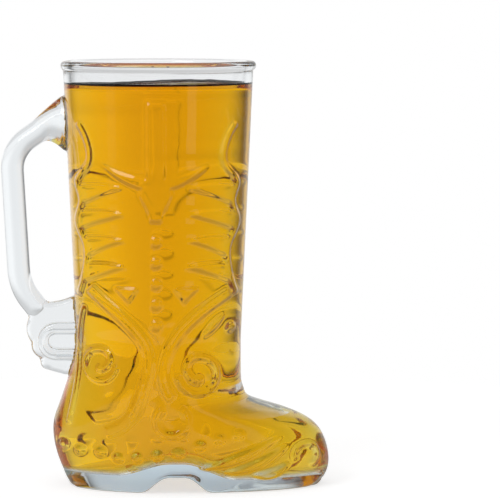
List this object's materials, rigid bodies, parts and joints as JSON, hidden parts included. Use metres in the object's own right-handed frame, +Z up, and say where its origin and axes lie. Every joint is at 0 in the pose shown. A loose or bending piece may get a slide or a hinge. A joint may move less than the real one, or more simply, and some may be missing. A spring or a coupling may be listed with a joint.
{
  "type": "beer boot glass",
  "caption": "Pressed-glass beer mug in the form of a cowboy boot, with a rimmed open leg, a rear bar handle that ends in a spur, and raised western ornament on both sides.",
  "frame": {"origin": "on the ground under the middle of the mug's box", "axes": "+Z up, +X towards the toe, +Y across the boot"},
  "size_m": [0.1523, 0.0906, 0.197],
  "materials": {
    "clear_glass": "fire-polished pressed soda-lime glass",
    "beer": "clear amber lager that fills the mug in the looks only"
  },
  "bodies": {
    "root": {"leg": "clear_glass", "foot": "clear_glass", "sole": "clear_glass", "rim_bead": "clear_glass", "handle": "clear_glass", "spur": "clear_glass", "steer_heads": "clear_glass", "wave_borders": "clear_glass", "fringe_leaves": "clear_glass", "button_studs": "clear_glass", "side_darts": "clear_glass", "instep_leaves": "clear_glass", "scroll_bands": "clear_glass", "volutes": "clear_glass", "horseshoes": "clear_glass", "welt_studs": "clear_glass", "toe_flames": "clear_glass", "heel_ribs": "clear_glass"}
  },
  "joints": []
}
